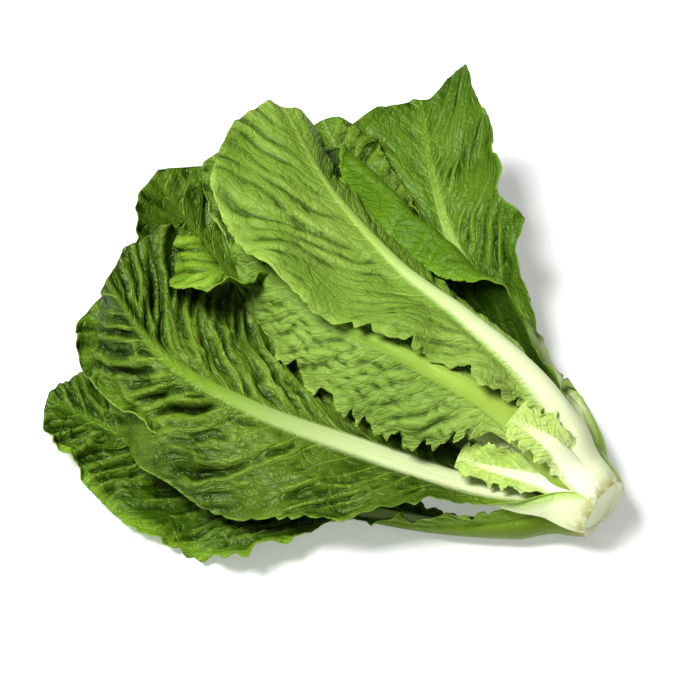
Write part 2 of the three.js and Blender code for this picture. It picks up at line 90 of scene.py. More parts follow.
# Two sizes of fold that run along the side veins: folds from one vein to the next, length and
# height.
FOLDS = 1.35
FOLD_LENGTH = 21
FOLD_HEIGHT = 2.8
CREASES = 2.9
CREASE_LENGTH = 11
CREASE_HEIGHT = 0.9

# Waves of the margin
LONG_WAVE = 31
SHORT_WAVE = 11.5
FINE_TEETH = 2.8  # to each large tooth

# Each leaf as in its solid. order counts outwards from the heart, and rib and face give the rib's
# points and the way that the inner face looks. Where a value has two parts, they are for the minus
# and the plus side: the half width, where the blade widens and is widest, the share of its width at
# the tip, how far the margin runs back or beyond, its lobes as place, height and length, and the
# angles at foot, middle and tip by which the side leans, cups and rolls over. wave is the height,
# count and phase of the margin's long waves.
# Then the finish of its sheet: the pitch of the mesh, the height of pleats, blisters and broad
# swells, the depth, spacing and end of the margin's teeth, its ruffles, and its paint.
COMMON = dict(
    rib_size=0.85,
    widens=[0.08, 0.08],
    widest=[0.64, 0.64],
    tip=[0.5, 0.5],
    sweep=[0.05, 0.05],
    bulge=[0, 0],
    lobes=[[], []],
    lean=[[0, 0, 0], [0, 0, 0]],
    roll=[[0, 0, 0], [0, 0, 0]],
    roll_from=[0.5, 0.5],
    roll_over=[0.5, 0.5],
    pitch=1.7,
    pleat=1.2,
    blister=0.6,
    swells=2,
    teeth=[5, 5],
    tooth=17,
    teeth_to=0.4,
    ruffle=1.6,
    paint="dark",
)
LEAVES = [
    dict(
        name="leaf_front_open",
        order=8.2,
        rib_size=1.25,
        rib=[[7, 17, 30], [60, 37, 25], [115, 60, 32], [166, 84, 44], [215, 97, 57], [262, 91, 77]],
        face=[[0, -0.8, 0.6], [0, 0.1, 1], [-0.4, 0.45, 0.8]],
        half=[58, 90],
        widest=[0.58, 0.72],
        tip=[0.3, 0.72],
        sweep=[0.05, 0],
        bulge=[0, 0.055],
        lobes=[[(0.28, 9, 0.14)], [(0.74, -8, 0.1)]],
        lean=[[0, 10, -40], [0, 20, -60]],
        cup=[[30, -30, -10], [60, -110, 120]],
        roll=[[0, 0, 0], [0, -110, 200]],
        roll_from=[0.5, 0.56],
        roll_over=[0.5, 0.15],
        wave=(4, 4.5, 0.4),
        pitch=1.15,
        pleat=1.9,
        blister=0.9,
        swells=3,
        teeth=[3, 6],
        paint="front",
    ),
    dict(
        name="leaf_front_under",
        order=10,
        rib_size=1,
        rib=[[6, 13, 11], [60, 54, 8], [116, 82, 4], [170, 104, 2], [220, 122, 8], [268, 138, 17]],
        face=[[0, -0.95, 0.25], [0, 0.3, 1], [-0.2, -0.1, 1]],
        half=[56, 58],
        widens=[0.34, 0.08],
        widest=[0.53, 0.64],
        tip=[0.3, 0.5],
        lobes=[[(0.17, 9, 0.11), (0.455, 11, 0.07), (0.86, -6, 0.1)], []],
        cup=[[110, -30, 15], [60, 5, 20]],
        wave=(4.5, 4, 2.2),
        pitch=1.15,
        pleat=1.8,
        blister=0.9,
        teeth=[7, 5],
        ruffle=2.4,
        paint="under",
    ),
    dict(
        name="leaf_top",
        order=7,
        rib_size=1,
        rib=[[5, -4, 41], [52, -11, 69], [105, -14, 78], [155, -16, 80], [210, -27, 89], [266, -49, 103]],
        face=[[0, 0.1, -1], [0, 0.25, -0.95], [0, 0.2, -0.95]],
        half=[30, 60],
        widest=[0.6, 0.82],
        tip=[0.4, 0.75],
        bulge=[0, 0.02],
        lobes=[[], [(0.26, 7, 0.08)]],
        cup=[[60, 95, 80], [60, 28, 22]],
        wave=(4, 4.5, 1.1),
        pitch=1.15,
        pleat=0.8,
        blister=0.4,
        swells=5,
        teeth=[5, 8],
        paint="light",
    ),
    dict(
        name="leaf_front_toothed",
        order=6,
        rib=[[12, 7, 38], [60, 10, 62], [102, 18, 69], [145, 25, 70], [188, 27, 71], [230, 24, 73]],
        face=[[0, -0.5, -0.85], [0, -0.6, -0.8], [0, -0.6, -0.8]],
        half=[14, 46],
        widest=[0.5, 0.4],
        tip=[0.9, 0.3],
        cup=[[60, 25, 20], [30, 15, 20]],
        wave=(2.5, 6, 0),
        pitch=1.0,
        pleat=0.5,
        blister=1.3,
        swells=3,
        teeth=[4, 17],
        teeth_to=0.55,
        paint="pale",
    ),
    dict(
        name="leaf_back_folded",
        order=7.4,
        rib=[[6, -16, 29], [50, -31, 27], [107, -41, 29], [157, -43, 34], [212, -46, 41], [271, -52, 50]],
        face=[[0, 0.95, 0.3], [0, 0.95, 0.3], [-0.1, 0.9, 0.4]],
        half=[34, 70],
        widest=[0.6, 0.7],
        tip=[0.5, 0.12],
        cup=[[60, 40, 30], [30, 0, 0]],
        roll=[[0, 0, 0], [0, 160, 160]],
        roll_from=[0.5, 0.5],
        roll_over=[0.5, 0.22],
        wave=(2, 5, 2),
        pitch=1.15,
        pleat=0.2,
        blister=0.1,
        swells=2,
        teeth=[4, 4],
        paint="bright",
    ),
    dict(
        name="leaf_back_open",
        order=8.6,
        rib_size=1,
        rib=[[6, -17, 22], [53, -46, 20], [100, -66, 22], [155, -76, 34], [196, -97, 54], [236, -129, 72]],
        face=[[0, 0.95, 0.2], [-0.2, 0.6, 0.75], [-0.5, 0.4, 0.7]],
        half=[64, 46],
        widest=[0.62, 0.72],
        tip=[0.68, 0.66],
        sweep=[0.02, -0.12],
        lobes=[
            [(0.9, -4, 0.05)],
            [(0.34, -19, 0.16), (0.57, 5, 0.035), (0.67, -11, 0.045), (0.77, -8, 0.04), (0.9, -11, 0.08)],
        ],
        cup=[[60, 15, 10], [60, 10, 20]],
        wave=(5, 4, 1.2),
        pitch=1.15,
        pleat=0.7,
        blister=0.35,
        swells=4,
        teeth=[8, 3],
        ruffle=2.2,
        paint="back",
    ),
    dict(
        name="leaf_back_under",
        order=9.8,
        rib=[[6, -11, 10], [60, -34, 3], [110, -50, 1], [160, -64, 2], [208, -76, 10], [252, -84, 24]],
        face=[[0, 0.4, 0.9], [0, 0.1, 1], [-0.3, 0.1, 1]],
        half=[54, 48],
        cup=[[60, 5, 20], [60, 15, 25]],
        wave=(4.5, 4, 0.2),
    ),
    dict(
        name="leaf_middle_under",
        order=9.2,
        rib=[[14, 0, 12], [72, 4, 10], [130, 9, 11], [188, 14, 18], [246, 19, 38], [303, 18, 76]],
        face=[[0, 0, 1], [0, 0, 1], [-0.85, 0.1, 0.5]],
        half=[58, 58],
        cup=[[60, 40, 30], [60, 40, 30]],
        wave=(4, 4, 1.6),
        paint="under",
    ),
    dict(
        name="leaf_front_middle",
        order=9,
        rib=[[30, 8, 13], [76, 33, 8], [120, 58, 11], [174, 78, 21], [230, 90, 30], [280, 92, 44]],
        face=[[0, 0, 1], [0, -0.1, 1], [-0.4, 0.1, 0.9]],
        half=[40, 46],
        lobes=[[(0.14, 8, 0.12)], []],
        cup=[[60, 15, 30], [60, 20, 30]],
        wave=(4, 4, 0.8),
    ),
    dict(
        name="leaf_back_middle",
        order=8,
        rib=[[12, -14, 17], [70, -38, 18], [124, -50, 20], [178, -57, 27], [228, -70, 40], [276, -88, 58]],
        face=[[0, 0.8, 0.5], [0, 0.6, 0.8], [-0.4, 0.5, 0.7]],
        half=[30, 26],
        cup=[[60, 20, 30], [60, 20, 20]],
        wave=(3.5, 4, 0.9),
    ),
    dict(
        name="leaf_heart_back",
        order=5,
        rib=[[24, -7, 20], [78, -14, 24], [134, -18, 28], [190, -20, 36], [244, -18, 50], [292, -16, 72]],
        face=[[0, 0.5, 0.7], [0, 0.5, 0.8], [-0.6, 0.3, 0.7]],
        half=[34, 34],
        cup=[[60, 50, 40], [60, 50, 40]],
        wave=(3, 4, 0.3),
        paint="heart",
    ),
    dict(
        name="leaf_heart_front",
        order=4,
        rib=[[28, 6, 31], [74, 10, 38], [120, 12, 42], [166, 12, 46], [212, 10, 50], [252, 5, 56]],
        face=[[0, -0.6, -0.7], [0, -0.6, -0.8], [0.2, -0.6, -0.8]],
        half=[24, 24],
        cup=[[60, 60, 30], [60, 50, 30]],
        wave=(3, 4.5, 1.4),
        paint="heart",
    ),
    dict(
        name="leaf_heart_core_front",
        order=2,
        rib_size=0.6,
        rib=[[38, 2, 24], [76, 7, 27], [116, 9, 31], [156, 10, 35], [194, 9, 39], [228, 8, 45]],
        face=[[0, -0.6, 0.6], [0, -0.6, 0.6], [0, -0.6, 0.6]],
        half=[20, 20],
        cup=[[60, 60, 50], [60, 60, 50]],
        wave=(2, 5, 1.9),
        paint="heart",
    ),
    dict(
        name="leaf_heart_core_back",
        order=1,
        rib_size=0.6,
        rib=[[38, -2, 27], [76, -6, 33], [116, -8, 38], [156, -9, 43], [196, -9, 48], [232, -8, 53]],
        face=[[0, 0.7, 0.4], [0, 0.7, 0.3], [0, 0.7, 0.3]],
        half=[18, 18],
        cup=[[70, 60, 50], [70, 60, 50]],
        wave=(2, 5, 0.6),
        paint="heart",
    ),
    dict(
        name="leaf_small_top",
        order=7.6,
        rib_size=0.8,
        rib=[[9, 5, 44], [18, 6, 51], [27, 7, 56], [36, 9, 60], [45, 11, 63], [54, 13, 65]],
        face=[[0, -0.3, -0.95], [0, -0.3, -0.95], [0, -0.3, -0.95]],
        half=[16, 13],
        widest=[0.5, 0.5],
        cup=[[40, 10, 10], [40, 10, 10]],
        wave=(1, 3, 0.6),
        pitch=0.6,
        pleat=0.35,
        blister=0.5,
        swells=1,
        teeth=[9, 9],
        tooth=11,
        teeth_to=1.2,
        ruffle=1.2,
        paint="white",
    ),
    dict(
        name="leaf_small_front",
        order=7.8,
        rib_size=0.6,
        rib=[[8, 11, 34], [20, 14, 37], [33, 19, 38], [46, 25, 38], [58, 30, 38], [70, 34, 39]],
        face=[[0, -0.2, 0.9], [0, 0.5, 0.85], [0, 0.5, 0.85]],
        half=[11, 14],
        widest=[0.5, 0.5],
        cup=[[30, 20, 20], [30, 20, 20]],
        wave=(1.5, 4, 0.6),
        pitch=0.6,
        pleat=0.6,
        blister=0.5,
        teeth=[6, 6],
        tooth=10,
        teeth_to=1.2,
        ruffle=1.8,
        paint="white",
    ),
]


def ramp(low, high, x):
    """A smooth step from 0 at low to 1 at high."""
    t = np.clip((x - low) / (high - low), 0, 1)
    return t * t * (3 - 2 * t)


def blend3(values, t):
    """Three values, at foot, middle and tip, as one smooth curve."""
    return values[0] * (1 - t) ** 2 + 2 * values[1] * t * (1 - t) + values[2] * t * t


def unit(vectors):
    """The same directions, each 1 long."""
    return vectors / np.linalg.norm(vectors, axis=-1, keepdims=True)


def drift(x, y, seed):
    """Smooth noise from -1 to 1 over the plane, one hill or hollow to each unit."""
    table = np.random.default_rng(seed).uniform(-1, 1, (64, 64))
    i = np.floor(x).astype(int)
    j = np.floor(y).astype(int)
    f = ramp(0, 1, x - i)
    g = ramp(0, 1, y - j)
    low = table[i % 64, j % 64] * (1 - f) + table[(i + 1) % 64, j % 64] * f
    high = table[i % 64, (j + 1) % 64] * (1 - f) + table[(i + 1) % 64, (j + 1) % 64] * f
    return low * (1 - g) + high * g


class Leaf:
    """A leaf's blade, laid out round its bent rib as in its solid."""

    def __init__(self, spec, seed):
        for key, value in {**COMMON, **spec}.items():
            setattr(self, key, value)
        self.seed = seed
        self.rib = np.array(self.rib, float)
        self.face = np.array(self.face, float)
        shares = self.rib_point(np.linspace(0, 1, 200))
        self.length = np.linalg.norm(np.diff(shares, axis=0), axis=1).sum()
        self.shift = np.zeros((SHIFT_ROWS + 1, SHIFT_COLUMNS + 1, 3))

    def rib_point(self, t):
        """The rib's points at shares t of its length, carried on straight beyond the tip."""
        t = np.asarray(t, float)
        ends = np.vstack([2 * self.rib[0] - self.rib[1], self.rib, 2 * self.rib[-1] - self.rib[-2]])

        def inside(t):
            place = np.clip(t, 0, 1) * (len(self.rib) - 1)
            i = np.minimum(place.astype(int), len(self.rib) - 2)
            f = (place - i)[..., None]
            a, b, c, d = (ends[i + k] for k in range(4))
            p = 0.5 * (c - a)
            q = 0.5 * (d - b)
            return b + f * p + f**2 * (3 * c - 3 * b - 2 * p - q) + f**3 * (2 * b - 2 * c + p + q)

        along = (self.rib[-1] - inside(np.array(0.98))) * 50
        return inside(t) + np.maximum(t - 1, 0)[..., None] * along

    def frame_at(self, t):
        """The rib's point, the plus side's direction and the inner face's."""
        along = unit(self.rib_point(t + 0.01) - self.rib_point(t - 0.01))
        inner = blend3(self.face, t[..., None])
        side = unit(np.cross(along, inner))
        return self.rib_point(t), side, np.cross(side, along)

    def half_width(self, u, k):
        foot = RIB_HALF_WIDTH * self.rib_size
        half = np.where(k, self.half[1], self.half[0])
        widest = np.where(k, self.widest[1], self.widest[0])
        rise = ramp(np.where(k, self.widens[1], self.widens[0]), widest, u)
        start = widest + 0.08
        tip = np.where(k, self.tip[1], self.tip[0])
        fall = 1 - (1 - tip) * np.maximum(0, (u - start) / (1 - start)) ** 2
        lobes = [0 * u, 0 * u]
        for n, side in enumerate(self.lobes):
            for at, height, length in side:
                lobes[n] = lobes[n] + height * np.exp(-(((u - at) / length) ** 2))
        return foot + (half - foot) * rise * fall + np.where(k, lobes[1], lobes[0])

    def rib_half_width(self, u):
        return self.rib_size * (RIB_TIP_HALF_WIDTH + (RIB_HALF_WIDTH - RIB_TIP_HALF_WIDTH) * (1 - u) ** 1.5)

    def rib_depth(self, u):
        return self.rib_size * (RIB_TIP_DEPTH + (RIB_DEPTH - RIB_TIP_DEPTH) * (1 - u) ** 1.2)

    def rib_profile(self, u, w):
        """1 on the rib's middle line, falling in a half ellipse to 0 at its edge."""
        return np.sqrt(1 - np.minimum(1, np.abs(w) / self.rib_half_width(u)) ** 2)

    def laid(self, u, v):
        """Points of the blade's middle surface before it is bent apart."""
        k = v >= 0
        reach = np.abs(v)
        sweep = np.where(k, self.sweep[1], self.sweep[0])
        bulge = np.where(k, self.bulge[1], self.bulge[0]) * 4 * reach * (1 - reach)
        origin, side, inner = self.frame_at(u - sweep * u**2 * reach**2 + bulge * u**4)
        width = self.half_width(u, k)
        cup = np.radians(np.where(k, blend3(self.cup[1], u), blend3(self.cup[0], u)))
        roll = np.radians(np.where(k, blend3(self.roll[1], u), blend3(self.roll[0], u)))
        lean = np.radians(np.where(k, blend3(self.lean[1], u), blend3(self.lean[0], u)))
        roll_from = np.where(k, self.roll_from[1], self.roll_from[0])
        roll_over = np.where(k, self.roll_over[1], self.roll_over[0])
        half = np.where(k, self.half[1], self.half[0])
        steps = 12
        out = np.zeros_like(u)
        up = np.zeros_like(u)
        for i in range(steps):
            q = (i + 0.5) / steps * reach
            turn = lean + cup * q + roll * ramp(roll_from, roll_from + roll_over, q * width / half)
            out += np.cos(turn) * reach * width / steps
            up += np.sin(turn) * reach * width / steps
        size, count, phase = self.wave
        swing = np.sin(2 * math.pi * count * u + phase + 2 * k)
        up += size * ramp(0.15, 0.5, u) * reach**2.2 * swing
        return origin + side * np.where(k, out, -out)[..., None] + inner * up[..., None]

    def shift_at(self, u, v):
        y = np.clip(u, 0, 1) * SHIFT_ROWS
        x = (np.clip(v, -1, 1) + 1) / 2 * SHIFT_COLUMNS
        i = np.minimum(y.astype(int), SHIFT_ROWS - 1)
        c = np.minimum(x.astype(int), SHIFT_COLUMNS - 1)
        f = (x - c)[..., None]
        g = (y - i)[..., None]
        low = self.shift[i, c] * (1 - f) + self.shift[i, c + 1] * f
        high = self.shift[i + 1, c] * (1 - f) + self.shift[i + 1, c + 1] * f
        return low * (1 - g) + high * g


def normals_of(points):
    """The way the inner face looks at each point of a grid of rows by columns."""
    across = np.gradient(points, axis=1)
    along = np.gradient(points, axis=0)
    return unit(np.cross(across, along))


def settle(leaves):
    """Bends the leaves' middle surfaces apart and off the ground, as their solids are.

    Pleats, ruffles and teeth come later, and may still reach into a neighbour.
    """
    u, v = np.meshgrid(
        np.linspace(0, 1, SHIFT_ROWS + 1), np.linspace(-1, 1, SHIFT_COLUMNS + 1), indexing="ij"
    )
    start = [leaf.laid(u, v) for leaf in leaves]
    thick = []
    for leaf in leaves:
        w = v * leaf.half_width(u, v >= 0)
        thick.append(BLADE_HALF_THICKNESS + leaf.rib_depth(u) * leaf.rib_profile(u, w))
    for _ in range(PASSES):
        now = [p + leaf.shift for p, leaf in zip(start, leaves)]
        normal = [normals_of(p).reshape(-1, 3) for p in now]
        flat = [p.reshape(-1, 3) for p in now]
        squares = [(p**2).sum(1) for p in flat]
        low = [p.min(0) - BOX_MARGIN for p in flat]
        high = [p.max(0) + BOX_MARGIN for p in flat]
        pushes = [np.zeros_like(p) for p in flat]
        for m, mover in enumerate(leaves):
            for n, wall in enumerate(leaves):
                if m == n or (low[m] > high[n]).any() or (low[n] > high[m]).any():
                    continue
                side = -1 if mover.order > wall.order else 1
                apart = squares[m][:, None] + squares[n] - 2 * flat[m] @ flat[n].T
                found = apart.argmin(1)
                best = apart.min(1)
                facing = normal[n][found]
                height = side * ((flat[m] - flat[n][found]) * facing).sum(1)
                gap = CLEARANCE + (
                    BLADE_HALF_THICKNESS + thick[n].reshape(-1)[found] if side < 0 else thick[m].reshape(-1)
                )
                pushed = (best < NEAR**2) & ((normal[m] * facing).sum(1) >= LEAST_FACING)
                pushed &= (best - height**2 <= BESIDE**2) & (gap > height)
                pushes[m] += np.where(pushed, 0.5 * side * (gap - height), 0)[:, None] * facing
        for m, leaf in enumerate(leaves):
            step = leaf.shift + np.clip(pushes[m].reshape(start[m].shape), -MOST_PUSH, MOST_PUSH)
            length = np.linalg.norm(step, axis=2, keepdims=True)
            step *= np.minimum(1, MOST_SHIFT / np.maximum(length, 1e-9))
            total = np.zeros_like(step)
            count = np.zeros(step.shape[:2] + (1,))
            total[1:] += step[:-1]
            count[1:] += 1
            total[:-1] += step[1:]
            count[:-1] += 1
            total[:, 1:] += step[:, :-1]
            count[:, 1:] += 1
            total[:, :-1] += step[:, 1:]
            count[:, :-1] += 1
            eased = (1 - STIFFNESS) * step + STIFFNESS * total / count
            leaf.shift = ramp(0, 0.12, u)[..., None] * eased
            leaf.shift[..., 2] = np.maximum(leaf.shift[..., 2], thick[m] - FLAT_DEPTH - start[m][..., 2])


def tooth_cut(leaf, u, k):
    """How far the margin is cut in, in millimetres: sharp uneven teeth that fade to the tip."""
    s = u * leaf.length
    seed = leaf.seed + np.where(k, 1, 0)
    warp = np.where(k, drift(s / 16, s * 0, leaf.seed + 40), drift(s / 16, s * 0, leaf.seed + 41))
    size = np.where(k, drift(s / 23, s * 0, leaf.seed + 42), drift(s / 23, s * 0, leaf.seed + 43))
    teeth = np.where(k, leaf.teeth[1], leaf.teeth[0])
    coarse = (s / leaf.tooth + 0.9 * warp + 0.37 * seed) % 1
    fine = (s / leaf.tooth * FINE_TEETH + 1.3 * warp) % 1
    deep = ramp(0.06, 0.2, u) * (1 - 0.88 * ramp(leaf.teeth_to, leaf.teeth_to + 0.35, u))
    notch = np.abs(2 * coarse - 1) ** 1.6 * (0.75 + 0.45 * size)
    return teeth * (deep * notch + (0.05 + 0.16 * deep) * np.abs(2 * fine - 1))


def blurred(values, size):
    """A grid's values averaged over size cells to either side."""
    for axis in (0, 1):
        pad = [(size, size) if axis == n else (0, 0) for n in (0, 1)]
        wide = np.pad(values, pad, mode="edge")
        count = values.shape[axis]
        values = sum(np.take(wide, range(i, i + count), axis) for i in range(2 * size + 1)) / (2 * size + 1)
    return values


def relief(leaf, u, w, reach, k):
    """The height of pleats and blisters, the coordinates that the veins follow, and a mask of how far each
    point stands above its neighbours, which the paint uses for painted shade in hollows and painted light
    on crests.
    """
    s = u * leaf.length
    out = np.abs(w)
    bend = 0.5 * drift(s / 33, w / 33, leaf.seed + 3) + 0.2 * drift(s / 12, w / 12, leaf.seed + 4)
    strip = (s - VEIN_LEAN * out - VEIN_BOW * out**2) / VEIN_SPACING + bend + 0.5 * k
    cross = out / CELL_LENGTH + 0.5 * drift(s / 9, w / 9, leaf.seed + 5)
    lane = np.floor(strip).astype(int)
    stagger = np.random.default_rng(leaf.seed + 7).uniform(0, 1, 97)[lane % 97]
    between = np.abs(np.sin(math.pi * strip)) ** 0.8
    folds = np.abs(drift(FOLDS * strip + 20, out / FOLD_LENGTH + 40 * k, leaf.seed + 6))
    creases = np.abs(drift(CREASES * strip + 20, out / CREASE_LENGTH + 40 * k, leaf.seed + 8))
    cells = np.abs(np.sin(math.pi * (cross + stagger))) ** 0.8
    lumps = np.clip(1 + 1.2 * drift(s / 18, w / 18, leaf.seed + 9), 0.25, 2)
    crumple = drift(s / 3.4, w / 3.4, leaf.seed + 11)
    pleats = 0.6 * (between - 0.6) + FOLD_HEIGHT * (folds - 0.35) + CREASE_HEIGHT * (creases - 0.35)
    height = -leaf.pleat * lumps * pleats
    height -= leaf.blister * lumps * between * (cells - 0.45)
    height += 0.35 * leaf.blister * crumple
    rib = leaf.rib_half_width(u)
    on_blade = ramp(rib * 0.9, rib + 6, out) * ramp(0.02, 0.25, u)
    height *= on_blade * (1 - 0.35 * reach**4)
    # How far each point stands above those around it: the paint darkens the hollows with it as painted
    # shade and lightens the crests as painted light.
    relief_shade_mask = 0.5 + 0.5 * (height - blurred(height, 4))
    height += leaf.swells * on_blade * drift(s / 26, w / 26, leaf.seed + 17)
    return height, strip, cross, np.clip(relief_shade_mask, 0, 1)


def ruffle(leaf, u, w, reach, k):
    """The margin's own short waves, on top of the long ones of the layout."""
    s = u * leaf.length
    warp = drift(s / 30, w / 60, leaf.seed + 13)
    long = np.sin(2 * math.pi * (s / LONG_WAVE + 0.5 * warp) + 2.1 * k + leaf.seed)
    short = np.sin(2 * math.pi * (s / SHORT_WAVE + 0.9 * warp) + 1.3 * k)
    size = leaf.ruffle * ramp(0.08, 0.25, u)
    return size * (reach**3.5 * long + 0.35 * reach**7 * short)


def wrapped(leaf, points, u, w):
    """The blade's middle with its foot closed round the stem, down to the cut."""
    if leaf.rib[0, 0] > LAST_FOOT:
        return points
    share = (1 - ramp(0, FOOT_WRAP, u * leaf.length))[..., None]
    points = points.copy()
    pull = (1 - ramp(0, FOOT_PULL, u * leaf.length)) ** 3
    points[..., 0] -= (points[..., 0] - leaf.rib[0, 0] * 0.05) * pull
    layer = FOOT_STEP * max(0, leaf.order - 6)
    radius = np.interp(points[..., 0], *zip(*FOOT_PROFILE)) + layer - 2 * SHEET_HALF_THICKNESS
    rib = points[:, points.shape[1] // 2]
    turn = np.arctan2(rib[:, 2] - STEM_HEIGHT, rib[:, 1])[:, None]
    side = leaf.frame_at(u[:, 0])[1]
    sense = np.sign(side[:, 2] * np.cos(turn[:, 0]) - side[:, 1] * np.sin(turn[:, 0]))[:, None]
    turn = turn + sense * w / radius
    held = points.copy()
    held[..., 1] = radius * np.cos(turn)
    held[..., 2] = radius * np.sin(turn) + STEM_HEIGHT
    return points * (1 - share) + held * share


def sheet_points(leaf, u, v):
    """The inner and outer face of a leaf's fine sheet, and what its paint reads."""
    k = v >= 0
    reach = np.abs(v)
    width = leaf.half_width(u, k)
    spare = np.maximum(0, width - 1.1 * leaf.rib_half_width(u))
    cut = np.minimum(tooth_cut(leaf, u, k), 0.6 * spare) / width
    reach = reach - cut * ramp(0.55, 1, reach) * reach
    v = np.where(k, reach, -reach)
    end_cut = 2.4 * np.abs(np.sin(v * width / 7 + leaf.seed)) / leaf.length
    u = u - (0.055 * reach**5 + end_cut) * ramp(0.8, 1, u)
    w = v * leaf.half_width(u, k)
    middle = wrapped(leaf, leaf.laid(u, v) + leaf.shift_at(u, v), u, w)
    height, strip, cross, relief_shade_mask = relief(leaf, u, w, reach, k)
    height = height + ruffle(leaf, u, w, reach, k)
    middle += normals_of(middle) * height[..., None]
    normal = normals_of(middle)
    profile = leaf.rib_profile(u, w)
    crown = RIB_CROWN * leaf.rib_size * (1 - u) ** 0.8 * profile**1.5
    inner = middle + normal * (SHEET_HALF_THICKNESS + crown)[..., None]
    depth = leaf.rib_depth(u) * (0.78 + 0.22 * ramp(0, 0.09, u))
    outer = middle - normal * (SHEET_HALF_THICKNESS + depth * profile)[..., None]
    inner[..., 2] = np.maximum(inner[..., 2], 2 * SHEET_HALF_THICKNESS)
    outer[..., 2] = np.maximum(outer[..., 2], 0)
    beside = np.abs(w) / leaf.rib_half_width(u)
    reads = {
        "place": np.stack([u * leaf.length / 10, w / 10, u], -1),
        "veins": np.stack([strip, cross, relief_shade_mask], -1),
        "edge": np.stack([reach, beside, 0 * u], -1),
    }
    return inner, outer, reads


def leaf_sheet(leaf):
    """A leaf as one closed sheet, a grid with a second face behind it."""
    columns = 2 * round(sum(leaf.half) / leaf.pitch / 2)
    rows = round(leaf.length / leaf.pitch)
    u, v = np.meshgrid(np.linspace(0, 1, rows + 1), np.linspace(-1, 1, columns + 1), indexing="ij")
    inner, outer, reads = sheet_points(leaf, u, v)
    bm = bmesh.new()
    bmesh.ops.create_grid(bm, x_segments=columns, y_segments=rows, size=1)
    bmesh.ops.solidify(bm, geom=bm.faces[:], thickness=0.5)
    mesh = bpy.data.meshes.new(leaf.name + "_sheet")
    bm.to_mesh(mesh)
    bm.free()
    flat = np.empty(len(mesh.vertices) * 3)
    mesh.vertices.foreach_get("co", flat)
    flat = flat.reshape(-1, 3)
    c = np.rint((flat[:, 0] + 1) / 2 * columns).astype(int)
    i = np.rint((flat[:, 1] + 1) / 2 * rows).astype(int)
    behind = np.abs(flat[:, 2]) > 0.25
    places = np.where(behind[:, None], outer[i, c], inner[i, c])
    mesh.vertices.foreach_set("co", ((places - ORIGIN) * MM).ravel())
    for key, values in reads.items():
        picked = values[i, c]
        if key == "edge":
            picked[:, 2] = behind
        layer = mesh.attributes.new(key, "FLOAT_VECTOR", "POINT")
        layer.data.foreach_set("vector", picked.astype(np.float32).ravel())
    mesh.update()
    return mesh


def turn_outwards(mesh):
    """Gives a closed mesh faces that point out."""
    bm = bmesh.new()
    bm.from_mesh(mesh)
    if bm.calc_volume(signed=True) < 0:
        bmesh.ops.reverse_faces(bm, faces=bm.faces[:])
    bm.to_mesh(mesh)
    bm.free()


def place_piece(mesh, name, node, paint):
    turn_outwards(mesh)
    mesh.polygons.foreach_set("use_smooth", [True] * len(mesh.polygons))
    mesh.materials.append(paint)
    piece = bpy.data.objects.new(name, mesh)
    bpy.context.scene.collection.objects.link(piece)
    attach(piece, "root")
    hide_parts(node)
    return piece


# Paints


def shade(red, green, blue):
    """A screen colour, 0 to 255, as the linear colour that a shader takes."""
    parts = [x / 255 for x in (red, green, blue)]
    return [x / 12.92 if x <= 0.04045 else ((x + 0.055) / 1.055) ** 2.4 for x in parts] + [1]


class Paint:
    """A material, with short calls for the nodes that it needs."""

    def __init__(self, name):
        self.material = bpy.data.materials.new(name)
        self.material.use_nodes = True
        self.tree = self.material.node_tree
        self.shader = self.tree.nodes["Principled BSDF"]

    def node(self, kind, inputs, output=0, **settings):
        made = self.tree.nodes.new("ShaderNode" + kind)
        for key, value in settings.items():
            setattr(made, key, value)
        for key, value in inputs.items():
            self.feed(made.inputs[key], value)
        return made.outputs[output]

    def feed(self, socket, value):
        if isinstance(value, bpy.types.NodeSocket):
            self.tree.links.new(value, socket)
        else:
            socket.default_value = value

    def math(self, operation, a, b=0.0):
        return self.node("Math", {0: a, 1: b}, operation=operation)

    def mix(self, share, a, b, blend="MIX"):
        return self.node("MixRGB", {0: share, 1: a, 2: b}, blend_type=blend)

    def step(self, value, low, high, start=0.0, end=1.0):
        """From start to end, smoothly, as the value goes from low to high."""
        inputs = {0: value, 1: low, 2: high, 3: start, 4: end}
        return self.node("MapRange", inputs, interpolation_type="SMOOTHSTEP")

    def read(self, name):
        """The three parts of an attribute, and the attribute as a vector."""
        made = self.tree.nodes.new("ShaderNodeAttribute")
        made.attribute_name = name
        split = self.tree.nodes.new("ShaderNodeSeparateXYZ")
        self.tree.links.new(made.outputs["Vector"], split.inputs[0])
        return (*split.outputs, made.outputs["Vector"])

    def noise(self, vector, scale, detail=3.0, roughness=0.5):
        inputs = {"Vector": vector, "Scale": scale, "Detail": detail, "Roughness": roughness}
        return self.node("TexNoise", inputs)

    def cells(self, vector, scale):
        """The distance to the nearest edge in a net of cells."""
        inputs = {"Vector": vector, "Scale": scale}
        return self.node("TexVoronoi", inputs, feature="DISTANCE_TO_EDGE", voronoi_dimensions="2D")


